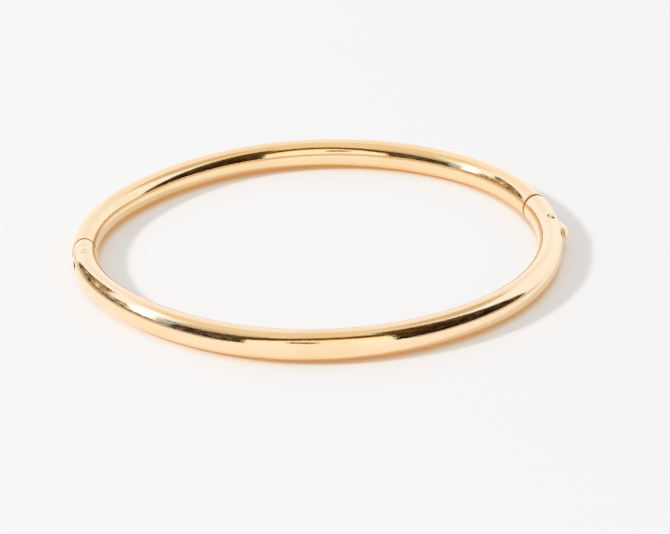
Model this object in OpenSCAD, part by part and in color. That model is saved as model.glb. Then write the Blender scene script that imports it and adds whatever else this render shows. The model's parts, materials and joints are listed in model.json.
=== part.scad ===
/* [Wrist hollow] */
// Width of the oval hollow, from the front half to the back half
inner_w = 50.2; // [48.2:1:52.2]
// How much longer than wide the oval hollow is
stretch = 9.8; // [8.4:1.4:11.2]

/* [Tube] */
// Thickness of the tube, from the wrist outwards
tube_w = 3.4; // [3.2:0.1:3.6]
// Height of the tube as the bangle lies flat
tube_h = 4.2; // [4:0.1:4.4]
// Wall of the hollow tube
wall = 0.4; // [0.3:0.05:0.45]

/* [Hinge] */
// Place of the hinge pin, in degrees past the oval's end towards the front
pin_deg = 12.6; // [11:0.1:14]
// Radius of the hinge pin
pin_r = 0.5; // [0.4:0.02:0.55]
// Radius of the round seam between the halves, about the hinge pin
seam_r = 3.6; // [3.4:0.05:3.8]
// Height of the knuckle between the two ears
knuckle_h = 1.4; // [1.2:0.05:1.6]
// Radius of the knuckle round the pin
knuckle_r = 1.15; // [1:0.05:1.2]

/* [Clasp] */
// Place of the clasp seam, in degrees past the oval's end towards the back
clasp_deg = 18.3; // [17:0.1:19]
// Length of the tongue beyond the seam
tongue_l = 4.8; // [4:0.1:5]
// Thickness of the tongue
tongue_w = 0.8; // [0.65:0.05:0.8]
// Height of the tongue
tongue_h = 1.6; // [1.4:0.1:1.7]
// Place of the lever's pin, in degrees past the oval's end towards the back
lever_deg = 3.5; // [3:0.1:4]
// Distance of the lever's pin from the tube's centre line, outwards
lever_out = 0.45; // [0.4:0.01:0.5]
// Thickness of the thumb lever
lever_h = 1.35; // [1.2:0.05:1.45]
// How far the thumb tab stands out of the tube
tab_out = 0.78; // [0.6:0.02:0.9]
// Radius of the lever's pin
lever_pin_r = 0.35; // [0.3:0.01:0.38]

/* [Gaps] */
// Gap between the two closed halves
seam_gap = 0.1; // [0.06:0.01:0.15]
// Gap round a piece that turns on its pin
running_gap = 0.04; // [0.03:0.005:0.06]
// Gap round a pin in the half that holds it
seat_gap = 0.02; // [0.01:0.005:0.03]
// Gap above and below a piece that swings in a slot
slot_gap = 0.07; // [0.05:0.01:0.1]

/* [Hidden] */
$fn = 96;
gold = "gold";
steel = "goldenrod";

// Centre line of the tube: an oval of four arcs that run into each other.
// The arcs meet on lines at 3-4-5 slopes, so each side arc turns through a right angle.
SHORT_LEG = 3 / 5;
LONG_LEG = 4 / 5;
clasp_join = atan2(LONG_LEG, SHORT_LEG);
hinge_join = clasp_join + 90;
half_w = (inner_w + tube_w) / 2;
half_l = half_w + stretch / 2;
clasp_drop = stretch / (SHORT_LEG + pow(LONG_LEG, 2) / SHORT_LEG
    + 2 * LONG_LEG - 1 - LONG_LEG / SHORT_LEG);
hinge_drop = clasp_drop * LONG_LEG / SHORT_LEG;
side_y = LONG_LEG * clasp_drop;
side_r = half_w + side_y;
clasp_end_r = side_r - clasp_drop;
hinge_end_r = side_r - hinge_drop;
clasp_x = half_l - clasp_end_r;
hinge_x = half_l - hinge_end_r;
side_x = clasp_x - SHORT_LEG * clasp_drop;

// Section of the tube: a round top and bottom and two flatter sides, which also meet at 3-4-5 slopes
mid_z = tube_h / 2;
section_rise = tube_h - tube_w;
section_shift = section_rise * SHORT_LEG / LONG_LEG;
section_edge_r = mid_z - section_rise;
section_side_r = tube_w / 2 + section_shift;

// Hinge: the pin's place, and the direction from it to the seam
pin_at = [-hinge_x - hinge_end_r * cos(pin_deg), -hinge_end_r * sin(pin_deg)];
seam_turn = 2 * asin(seam_r / 2 / hinge_end_r);
hinge_turn = pin_deg - seam_turn / 2;
hinge_seam_deg = pin_deg - seam_turn;
block_l = 1.2;
ear_block_l = 2.3;
knuckle_out = 1.5;
slot_in = knuckle_r + 0.1;
slot_end = knuckle_r + 0.15;

// Clasp: the seam's centre, and its distance and direction from the hinge pin
seam_at = [clasp_x + clasp_end_r * cos(clasp_deg), clasp_end_r * sin(clasp_deg)];
swing_r = norm(seam_at - pin_at);
swing_dir = atan2(seam_at[1] - pin_at[1], seam_at[0] - pin_at[0]);
clasp_block_l = 2.3;
tongue_root_l = 1.8;
tongue_face = swing_r + 0.07;
tongue_seat = 0.02;
notch_l = 0.9;
notch_d = 0.2;
notch_from_tip = 1.2;
tip_cut = 0.35;

// Lever: the pin's place, and the shape of the lever about it.
// Its nose lies a small gap off the tongue's outer face.
lever_r = clasp_end_r + lever_out;
lever_at = [clasp_x + lever_r * cos(lever_deg), lever_r * sin(lever_deg)];
surface_x = tube_w / 2 - lever_out;
hub_r = 0.72;
neck = [-1.1, 0.75];
tab_end = -2.35;
tab_start = 0.8;
tab_end_r = 0.27;
tab_peak = -2;
tab_x = surface_x + tab_out;
tab_run = tab_start - tab_peak;
tab_rise = tab_out - 0.03;
tab_r = (pow(tab_rise, 2) + pow(tab_run, 2)) / (2 * tab_rise);
tab_standoff = 0.3;
arm_in = 0.45;
nose_r = 0.25;
nose_gap = 0.08;
nose_y = 4.05;
hinge_from_lever = [
    (pin_at[0] - lever_at[0]) * cos(lever_deg) + (pin_at[1] - lever_at[1]) * sin(lever_deg),
    (pin_at[1] - lever_at[1]) * cos(lever_deg) - (pin_at[0] - lever_at[0]) * sin(lever_deg),
];
nose_x = hinge_from_lever[0]
    + sqrt(pow(tongue_face + nose_gap + nose_r, 2) - pow(nose_y - hinge_from_lever[1], 2));
window = [-1.45, 1.05];
head_r = 0.55;
head_z = tube_h - 0.35;
head_gap = 0.015;

// Room beyond the tube for the cutting shapes
beyond = 4;
// Overrun of an arc past the seam that trims it
past_seam = 2;

// Section of the tube, with its outline moved in by inset
module section(inset) {
    bend_r = section_side_r - inset;
    for (side = [-1, 1]) translate([0, side * section_rise]) circle(r = section_edge_r - inset);
    intersection() {
        translate([-section_shift, 0]) circle(r = bend_r);
        translate([section_shift, 0]) circle(r = bend_r);
        square([2 * tube_w, 2 * bend_r * LONG_LEG], center = true);
    }
}

// An arc of the tube about a centre, from one direction through a turn
module arc_tube(centre, radius, start, turn, inset = 0) {
    translate([centre[0], centre[1], mid_z])
        rotate([0, 0, start])
        rotate_extrude(angle = turn)
        translate([radius, 0])
        section(inset);
}

// Half of the oval tube, the back (side 1) or the front (side -1), out to a direction at each end
module half_tube(side, clasp_to, hinge_to, inset = 0) {
    arc_tube([clasp_x, 0], clasp_end_r, side * clasp_join, clasp_to - side * clasp_join, inset);
    arc_tube([side_x, -side * side_y], side_r, side * clasp_join, side * 90, inset);
    arc_tube([-hinge_x, 0], hinge_end_r, side * hinge_join, hinge_to - side * hinge_join, inset);
}

// A short stretch of the tube at its clasp end, and one at its hinge end
module clasp_stretch(inset = 0) {
    arc_tube([clasp_x, 0], clasp_end_r, lever_deg - past_seam, 2 * past_seam, inset);
}

module hinge_stretch() {
    arc_tube([-hinge_x, 0], hinge_end_r, 180 + pin_deg - past_seam, 2 * past_seam);
}

// Places its children about the hinge pin, +Y towards the seam
module at_hinge() {
    translate([pin_at[0], pin_at[1], 0]) rotate([0, 0, hinge_turn]) children();
}

// Places its children about the hinge pin, +X towards the clasp seam
module at_swing() {
    translate([pin_at[0], pin_at[1], 0]) rotate([0, 0, swing_dir]) children();
}

// Places its children about the lever's pin, +X outwards and +Y towards the seam
module at_lever() {
    translate([lever_at[0], lever_at[1], 0]) rotate([0, 0, lever_deg]) children();
}

// A hole or pin of the given radius, longer than the tube is high
module bore(radius) {
    translate([0, 0, -beyond]) cylinder(r = radius, h = tube_h + 2 * beyond);
}

// A slab of the given height, centred on the tube's middle
module mid_slab(height) {
    translate([0, 0, mid_z - height / 2]) linear_extrude(height) children();
}

// Everything on the back half's side of the round hinge seam
module beyond_hinge_seam(radius) {
    at_hinge() translate([0, 0, -beyond]) linear_extrude(tube_h + 2 * beyond) difference() {
        translate([-beyond, 0]) square([2 * beyond, seam_r + beyond]);
        circle(r = radius);
    }
}

// Everything on one side of the flat clasp seam
module clasp_cut(side) {
    at_swing() translate([swing_r, 0, 0]) {
        translate([-beyond, side > 0 ? -seam_gap / 2 : seam_gap / 2 - 2 * beyond, -beyond])
            cube([2 * beyond, 2 * beyond, tube_h + 2 * beyond]);
    }
}

module knuckle_outline() {
    circle(r = knuckle_r);
    polygon([
        [knuckle_r, 0],
        [knuckle_r, seam_r + block_l / 2],
        [-knuckle_out, seam_r + block_l / 2],
        [-knuckle_out, 1],
        [-knuckle_r, 0],
    ]);
}

module tongue_outline(grow) {
    root = tongue_root_l / swing_r * 180 / PI;
    tip = tongue_l / swing_r * 180 / PI;
    rotate([0, 0, -tip])
        rotate_extrude(angle = tip + root)
        translate([tongue_face - tongue_w - grow, -tongue_h / 2 - grow])
        square([tongue_w + 2 * grow, tongue_h + 2 * grow]);
}

module lever_outline() {
    difference() {
        union() {
            circle(r = hub_r);
            // The arm that reaches along the tongue, and its rounded nose
            polygon([
                [-arm_in, 0],
                [hub_r, 0],
                [nose_x + nose_r, nose_y],
                [nose_x - nose_r, nose_y],
                [-arm_in, hub_r],
            ]);
            translate([nose_x, nose_y]) circle(r = nose_r);
            // The neck through the tube's window, and the thumb tab
            translate([0, neck[0]]) square([surface_x + tab_standoff, neck[1] - neck[0]]);
            intersection() {
                translate([tab_x - tab_r, tab_peak]) circle(r = tab_r);
                translate([surface_x - wall, tab_end]) square([beyond, tab_start - tab_end]);
            }
            translate([tab_x - tab_end_r, tab_end]) circle(r = tab_end_r);
        }
        // The tab's free end stands off the tube's wall
        intersection() {
            translate([-lever_r, 0]) circle(r = clasp_end_r + tube_w / 2 + tab_standoff);
            translate([hub_r, neck[0] - beyond]) square([beyond, beyond]);
        }
    }
}

module front_half() {
    ear_block = ear_block_l / hinge_end_r * 180 / PI;
    color(gold) difference() {
        half_tube(-1, clasp_deg + past_seam, hinge_seam_deg - past_seam - 180);
        // The hollow, open at the clasp seam
        half_tube(-1, clasp_deg + 2 * past_seam, pin_deg + ear_block - 180, wall);
        beyond_hinge_seam(seam_r - seam_gap / 2);
        clasp_cut(1);
        // The slot between the ears, and the pin's hole through them
        at_hinge() mid_slab(knuckle_h + 2 * slot_gap)
            translate([-beyond, -slot_end]) square([beyond + slot_in, beyond + seam_r]);
        at_hinge() bore(pin_r + seat_gap);
        // The lever's window, and its pin's holes
        at_lever() mid_slab(lever_h + 2 * slot_gap)
            translate([0, window[0]]) square([beyond, window[1] - window[0]]);
        at_lever() bore(lever_pin_r + seat_gap);
    }
}

module back_half() {
    block = block_l / hinge_end_r * 180 / PI;
    clasp_block = clasp_block_l / clasp_end_r * 180 / PI;
    color(gold) difference() {
        union() {
            difference() {
                half_tube(1, clasp_deg - past_seam, 180 + hinge_seam_deg + past_seam);
                half_tube(1, clasp_deg + clasp_block, 180 + hinge_seam_deg - block, wall);
                at_hinge() bore(seam_r + seam_gap / 2);
                clasp_cut(-1);
            }
            at_hinge() mid_slab(knuckle_h) knuckle_outline();
        }
        at_hinge() bore(pin_r + running_gap);
        at_swing() translate([0, 0, mid_z]) tongue_outline(tongue_seat);
    }
}

module hinge_pin() {
    color(gold) intersection() {
        hinge_stretch();
        at_hinge() bore(pin_r);
    }
}

module clasp_tongue() {
    tip = tongue_l / swing_r * 180 / PI;
    notch = (tongue_l - notch_from_tip) / swing_r * 180 / PI;
    color(steel) difference() {
        at_swing() translate([0, 0, mid_z]) tongue_outline(0);
        // The catch notch in the outer face
        at_swing() rotate([0, 0, -notch]) translate([tongue_face - notch_d, 0, 0])
            cube([notch_d * 2, notch_l, tube_h]);
        // The sloped tip
        at_swing() rotate([0, 0, -tip]) translate([tongue_face, 0, 0])
            rotate([0, 0, 45]) cube([tip_cut * sqrt(2), tip_cut * sqrt(2), tube_h * 2], center = true);
    }
}

module thumb_lever() {
    color(gold) difference() {
        at_lever() mid_slab(lever_h) lever_outline();
        at_lever() bore(lever_pin_r + running_gap);
    }
}

module lever_pin() {
    color(gold) union() {
        intersection() {
            clasp_stretch();
            at_lever() translate([0, 0, -beyond]) cylinder(r = lever_pin_r, h = mid_z + beyond);
        }
        at_lever() translate([0, 0, mid_z]) cylinder(r = lever_pin_r, h = mid_z);
        difference() {
            at_lever() translate([0, 0, head_z]) sphere(r = head_r);
            clasp_stretch(-head_gap);
        }
    }
}

front_half();
back_half();
hinge_pin();
clasp_tongue();
thumb_lever();
lever_pin();
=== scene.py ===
"""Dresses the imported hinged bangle: polished gold meshes, a pale table, studio light and a camera."""
import json
import logging
import math
from dataclasses import dataclass, field
from enum import Enum

import bpy
import numpy as np
from mathutils import Matrix, Quaternion, Vector


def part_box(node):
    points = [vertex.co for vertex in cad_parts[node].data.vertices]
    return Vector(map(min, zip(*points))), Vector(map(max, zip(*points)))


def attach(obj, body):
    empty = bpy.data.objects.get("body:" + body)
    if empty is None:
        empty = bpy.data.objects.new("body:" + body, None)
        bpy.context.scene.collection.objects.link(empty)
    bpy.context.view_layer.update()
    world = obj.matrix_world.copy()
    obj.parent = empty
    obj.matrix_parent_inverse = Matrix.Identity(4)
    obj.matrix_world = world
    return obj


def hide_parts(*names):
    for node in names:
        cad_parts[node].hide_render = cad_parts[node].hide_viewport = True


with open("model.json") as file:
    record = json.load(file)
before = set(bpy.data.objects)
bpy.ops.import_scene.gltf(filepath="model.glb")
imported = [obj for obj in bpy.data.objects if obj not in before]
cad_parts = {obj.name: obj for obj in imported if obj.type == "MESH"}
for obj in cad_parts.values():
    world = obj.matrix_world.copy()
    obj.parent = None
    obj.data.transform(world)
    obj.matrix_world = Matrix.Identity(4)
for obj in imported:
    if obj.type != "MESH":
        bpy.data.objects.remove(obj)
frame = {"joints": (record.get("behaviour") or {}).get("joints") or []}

Socket = bpy.types.NodeSocket
Colour = tuple[float, float, float]
Value = Socket | float
Paint = Socket | Colour
LOG = logging.getLogger("bangle")
MM = 0.001
PICTURE_WIDTH = 670
SENSOR_WIDTH = 36.0

# In millimetres: the tube's width, and heights that lie well below and above the tube.
TUBE_WIDTH = 3.4
BELOW = -1.0
ABOVE = 6.0

# How finely round forms are cut into faces.
ROUND_SIDES = 64
RIM_TURNS = (0, 30, 60, 90)
CAP_SCALES = (0.8, 0.6, 0.4, 0.2)

# The scratches' two directions in radians, their shape, and the noise's values between which marks fade in.
SCRATCH_TURNS = (0.4, 1.9)
SCRATCH_SHAPE = (1.0, 0.06, 0.3)
SCRATCH_ENDS = (0.66, 0.74)
SMUDGE_ENDS = (0.45, 0.75)

# What the polished metal's colour is multiplied by: where it is smudged, on the fine darker line about the
# hinge pin, on machined faces, and in the seams and recesses, where it is darkened to painted shade.
SMUDGED = (0.97, 0.94, 0.88)
LINE_DARKENING = (0.62, 0.5, 0.4)
DULL = (0.92, 0.88, 0.82)
SEAM_SHADE = (0.62, 0.36, 0.16)


class Body(Enum):
    """The bodies of the frame that a piece can ride on."""

    FRONT = "front"
    BACK = "back"
    LEVER = "lever"


class Cut(Enum):
    """How one solid changes another."""

    AWAY = "DIFFERENCE"
    JOIN = "UNION"
    KEEP = "INTERSECT"


class Face(Enum):
    """Which of a piece's finishes a face has."""

    POLISHED = 0
    MACHINED = 1
    # Faces in the seams and recesses, coloured with painted shade.
    GROOVE = 2


class End(Enum):
    """The form of a tube's end."""

    ROUND = "round"
    FLAT = "flat"


@dataclass(frozen=True)
class Joint:
    """A joint of the frame, with its place in millimetres.

    Args:
        name: the joint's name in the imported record.
    """

    name: str

    def at(self) -> np.ndarray:
        """Returns the joint's place in plan, in millimetres."""
        facts = next(j for j in frame["joints"] if j["name"] == self.name)
        return np.array(facts["pos_m"][:2]) / MM


@dataclass
class OvalPath:
    """The tube's centre line in plan: four arcs that meet on 3-4-5 slopes, smoothed where they meet.

    Args:
        half_length: from the middle to the centre line at the hinge or clasp.
        half_width: from the middle to the centre line at the front or back.
        smoothing: over how many millimetres one arc's curve eases into the next.
        samples: how many points the line is held in.
    """

    half_length: float
    half_width: float
    smoothing: float = 3.0
    samples: int = 8192
    length: float = field(init=False)
    points: np.ndarray = field(init=False, repr=False)
    tangents: np.ndarray = field(init=False, repr=False)

    def __post_init__(self) -> None:
        """Works out the arcs and samples the smoothed line."""
        short, long = 3 / 5, 4 / 5
        join = math.atan2(long, short)
        stretch = 2 * (self.half_length - self.half_width)
        drop = stretch / (short + long**2 / short + 2 * long - 1 - long / short)
        side_y = long * drop
        side_r = self.half_width + side_y
        self.clasp_r = side_r - drop
        self.hinge_r = side_r - drop * long / short
        self.clasp_x = self.half_length - self.clasp_r
        self.hinge_x = self.half_length - self.hinge_r
        side_x = self.clasp_x - short * drop
        quarter = math.pi / 2
        self.arcs = [
            ((self.clasp_x, 0.0), self.clasp_r, -join, 2 * join),
            ((side_x, -side_y), side_r, join, quarter),
            ((-self.hinge_x, 0.0), self.hinge_r, join + quarter, math.pi - 2 * join),
            ((side_x, side_y), side_r, -join - quarter, quarter),
        ]
        self.join = join
        self.length = sum(radius * turn for _, radius, _, turn in self.arcs)
        along = np.arange(self.samples) * self.length / self.samples
        raw = np.zeros(self.samples, complex)
        begin = 0.0
        for centre, radius, start, turn in self.arcs:
            inside = (along >= begin) & (along < begin + radius * turn)
            angle = start + (along[inside] - begin) / radius
            raw[inside] = complex(*centre) + radius * np.exp(1j * angle)
            begin += radius * turn
        waves = 2 * np.pi * np.fft.fftfreq(self.samples, self.length / self.samples)
        soft = np.exp(-((waves * self.smoothing) ** 2) / 2)
        kept = np.fft.fft(raw) * soft * (2 - soft)
        line = np.fft.ifft(kept)
        slope = np.fft.ifft(kept * 1j * waves)
        slope /= np.abs(slope)
        self.points = np.stack([line.real, line.imag], axis=1)
        self.tangents = np.stack([slope.real, slope.imag], axis=1)

    def at_clasp(self, degrees: float) -> float:
        """Returns how far along the line the clasp end's arc reaches a direction."""
        return self.clasp_r * (self.join + math.radians(degrees))

    def at_hinge(self, degrees: float) -> float:
        """Returns how far along the line the hinge end's arc reaches a direction past the oval's end."""
        before = sum(radius * turn for _, radius, _, turn in self.arcs[:2])
        return before + self.hinge_r * (math.pi / 2 - self.join + math.radians(degrees))

    def _pick(self, table: np.ndarray, along: np.ndarray) -> np.ndarray:
        """Reads rows of a table, blended between its samples.

        Args:
            table: one row for each sample of the line.
            along: distances along the line.

        Returns:
            The rows at those distances.
        """
        where = np.mod(along, self.length) / self.length * self.samples
        low = np.floor(where).astype(int)
        share = (where - low)[..., None]
        return table[low % self.samples] * (1 - share) + table[(low + 1) % self.samples] * share

    def frame_at(self, along: np.ndarray) -> tuple[np.ndarray, np.ndarray, np.ndarray]:
        """Gives the line's point, direction and outward normal.

        Args:
            along: distances along the line, in millimetres.

        Returns:
            The points, the unit tangents and the unit normals that point away from the wrist.
        """
        point = self._pick(self.points, along)
        tangent = self._pick(self.tangents, along)
        tangent = tangent / np.linalg.norm(tangent, axis=-1, keepdims=True)
        normal = np.stack([tangent[..., 1], -tangent[..., 0]], axis=-1)
        return point, tangent, normal

    def locate(self, places: np.ndarray) -> tuple[np.ndarray, np.ndarray]:
        """Finds the nearest point of the line.

        Args:
            places: points in plan.

        Returns:
            The distances along the line, and the distances outwards from it.
        """
        coarse = self.points[::32]
        gaps = ((places[:, None, :] - coarse[None]) ** 2).sum(axis=2)
        along = gaps.argmin(axis=1) * 32 * self.length / self.samples
        for _ in range(6):
            point, tangent, normal = self.frame_at(along)
            along = along + ((places - point) * tangent).sum(axis=1)
        point, tangent, normal = self.frame_at(along)
        return along, ((places - point) * normal).sum(axis=1)


@dataclass(frozen=True)
class Section:
    """The tube's oval section.

    Args:
        width: from the wrist side to the outer side.
        height: from the bottom to the top.
        columns: how many points go round it.
    """

    width: float
    height: float
    columns: int = 112

    def outline(self, inset: float = 0.0, scale: float = 1.0) -> tuple[np.ndarray, np.ndarray]:
        """Gives the outline's points.

        Args:
            inset: how far the outline moves in.
            scale: the outline's size after that.

        Returns:
            The distances outwards, and the heights above the section's middle.
        """
        angle = np.arange(self.columns) * 2 * np.pi / self.columns
        a, b = self.width / 2, self.height / 2
        nx, nz = np.cos(angle) / a, np.sin(angle) / b
        size = np.hypot(nx, nz)
        out = a * np.cos(angle) - inset * nx / size
        up = b * np.sin(angle) - inset * nz / size
        return scale * out, scale * up

    def normal(self, out: np.ndarray, up: np.ndarray) -> tuple[np.ndarray, np.ndarray]:
        """Gives the surface's unit normal.

        Args:
            out: how far points lie outside the section's middle.
            up: how far they lie above it.

        Returns:
            The normal's outward and upward parts.
        """
        nx, nz = out / (self.width / 2) ** 2, up / (self.height / 2) ** 2
        size = np.hypot(nx, nz)
        return nx / size, nz / size

    def depth(self, out: np.ndarray, up: np.ndarray) -> np.ndarray:
        """Returns roughly how far inside the outline points of the section lie."""
        share = np.hypot(out / (self.width / 2), up / (self.height / 2))
        return (1 - share) * self.width / 2


@dataclass(frozen=True)
class EndFace:
    """The surface on which a tube ends.

    Args:
        form: round about a pin, or flat.
        at: the pin, or a point of the flat face.
        reach: the round face's radius, or how far the flat face lies from the point.
        direction: the flat face's normal, in radians.
        search: the stretch of the centre line that holds the end.
    """

    form: End
    at: np.ndarray
    reach: float
    search: tuple[float, float]
    direction: float = 0.0

    def meet(self, path: OvalPath, out: np.ndarray) -> np.ndarray:
        """Finds where lines along the tube meet the face.

        Args:
            path: the tube's centre line.
            out: how far each line lies outside the centre line.

        Returns:
            The distance along the centre line for each.
        """
        low = np.full(out.shape, self.search[0])
        high = np.full(out.shape, self.search[1])
        sign = np.sign(self._value(path, low, out))
        for _ in range(40):
            middle = (low + high) / 2
            same = np.sign(self._value(path, middle, out)) == sign
            low, high = np.where(same, middle, low), np.where(same, high, middle)
        return (low + high) / 2

    def _value(self, path: OvalPath, along: np.ndarray, out: np.ndarray) -> np.ndarray:
        """Measures how far points lie beyond the face.

        Args:
            path: the tube's centre line.
            along: the points' distances along it.
            out: how far they lie outside it.

        Returns:
            The distances, below 0 on the face's other side.
        """
        point, _, normal = path.frame_at(along)
        apart = point + normal * out[:, None] - self.at
        if self.form is End.ROUND:
            return np.hypot(apart[:, 0], apart[:, 1]) - self.reach
        return apart @ np.array([math.cos(self.direction), math.sin(self.direction)]) - self.reach


class Draft:
    """A solid in millimetres, before it becomes a piece of the scene."""

    def __init__(self, name: str, points: np.ndarray, faces: list, face: Face = Face.MACHINED) -> None:
        """Makes the mesh.

        Args:
            name: the solid's name.
            points: its corners.
            faces: its faces, as lists of corner numbers.
            face: the finish that all its faces start with.
        """
        mesh = bpy.data.meshes.new(name)
        mesh.from_pydata([tuple(p) for p in np.asarray(points, float).tolist()], [], faces)
        for _ in Face:
            mesh.materials.append(None)
        mesh.polygons.foreach_set("material_index", [face.value] * len(mesh.polygons))
        self.thing = bpy.data.objects.new(name, mesh)
        bpy.context.scene.collection.objects.link(self.thing)

    def carve(self, tool: "Draft", cut: Cut) -> "Draft":
        """Changes this solid by another, which is used up.

        Args:
            tool: the other solid.
            cut: what the other solid does to this one.

        Returns:
            This solid.
        """
        change = self.thing.modifiers.new("carve", "BOOLEAN")
        change.object = tool.thing
        change.operation = cut.value
        change.solver = "EXACT"
        self._settle()
        spent = tool.thing.data
        bpy.data.objects.remove(tool.thing)
        bpy.data.meshes.remove(spent)
        return self

    def round_edges(self, width: float, sharper_than: float = 50.0, steps: int = 3) -> "Draft":
        """Rounds the sharp edges.

        Args:
            width: how far the rounding reaches from each edge.
            sharper_than: the least angle of an edge that is rounded, in degrees.
            steps: how many faces the rounding has.

        Returns:
            This solid.
        """
        change = self.thing.modifiers.new("round", "BEVEL")
        change.width = width
        change.segments = steps
        change.limit_method = "ANGLE"
        change.angle_limit = math.radians(sharper_than)
        change.use_clamp_overlap = True
        self._settle()
        return self

    def _settle(self) -> None:
        """Applies the modifiers to the mesh."""
        graph = bpy.context.evaluated_depsgraph_get()
        mesh = bpy.data.meshes.new_from_object(self.thing.evaluated_get(graph))
        spent = self.thing.data
        self.thing.modifiers.clear()
        self.thing.data = mesh
        bpy.data.meshes.remove(spent)


def prism(name: str, outline: list, low: float, high: float, face: Face = Face.MACHINED) -> Draft:
    """Raises an outline into a solid.

    Args:
        name: the solid's name.
        outline: the outline's points, anticlockwise.
        low: the height of its bottom.
        high: the height of its top.
        face: the finish of its faces.

    Returns:
        The solid.
    """
    count = len(outline)
    points = [(x, y, z) for z in (low, high) for x, y in outline]
    sides = [[i, (i + 1) % count, (i + 1) % count + count, i + count] for i in range(count)]
    return Draft(name, points, [list(range(count))[::-1], list(range(count, 2 * count))] + sides, face)


def arc(centre: tuple, radius: float, start: float, end: float, steps: int = 24) -> list:
    """Returns points along an arc from one direction to another, in degrees."""
    angles = np.radians(np.linspace(start, end, steps + 1))
    return [(centre[0] + radius * math.cos(t), centre[1] + radius * math.sin(t)) for t in angles]


def rod(name: str, centre: np.ndarray, radius: float, low: float = BELOW, high: float = ABOVE) -> Draft:
    """Returns an upright round bar, which passes right through the tube unless its ends are given."""
    last = 360 - 360 / ROUND_SIDES
    return prism(name, arc(tuple(centre), radius, 0, last, ROUND_SIDES - 1), low, high)


def placed(outline: list, at: np.ndarray, turn: float) -> list:
    """Turns an outline by an angle in degrees and moves it to a place.

    Args:
        outline: the points, about their own origin.
        at: where that origin goes.
        turn: the angle.

    Returns:
        The moved points.
    """
    c, s = math.cos(math.radians(turn)), math.sin(math.radians(turn))
    return [(at[0] + c * x - s * y, at[1] + s * x + c * y) for x, y in outline]


def flared_bore(centre: np.ndarray, radius: float, top: float, flare: float) -> Draft:
    """Returns the tool that bores a hole whose upper edge is chamfered.

    Args:
        centre: the hole's axis in plan.
        radius: its radius.
        top: the height of the surface round it.
        flare: the chamfer's depth.

    Returns:
        The tool.
    """
    high = 2 * top
    wide = radius + flare + high - top
    profile = [(0, high), (wide, high), (radius, top - flare), (radius, BELOW), (0, BELOW)]
    return lathe("bore", centre, profile)


def lathe(name: str, centre: np.ndarray, profile: list, face: Face = Face.MACHINED) -> Draft:
    """Turns a profile about an upright axis.

    Args:
        name: the solid's name.
        centre: the axis in plan.
        profile: distances from the axis with heights, from the top's middle to the bottom's.
        face: the finish of its faces.

    Returns:
        The solid.
    """
    x, y = centre
    sides = ROUND_SIDES
    angles = np.arange(sides) * 2 * np.pi / sides
    ring = [(i, (i + 1) % sides) for i in range(sides)]
    points = [(x, y, profile[0][1])]
    for radius, height in profile[1:-1]:
        points += [(x + radius * math.cos(t), y + radius * math.sin(t), height) for t in angles]
    points.append((x, y, profile[-1][1]))
    faces = [[0, 1 + i, 1 + j] for i, j in ring]
    for r in range(len(profile) - 3):
        a, b = 1 + r * sides, 1 + (r + 1) * sides
        faces += [[a + i, b + i, b + j, a + j] for i, j in ring]
    tail, last = 1 + (len(profile) - 3) * sides, len(points) - 1
    faces += [[last, tail + j, tail + i] for i, j in ring]
    return Draft(name, points, faces, face)


def ball(name: str, centre: np.ndarray, height: float, radius: float, rings: int = 28) -> Draft:
    """Returns a ball about a point of an upright axis."""
    turns = [math.pi * i / rings for i in range(rings + 1)]
    return lathe(name, centre, [(radius * math.sin(t), height + radius * math.cos(t)) for t in turns])


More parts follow.
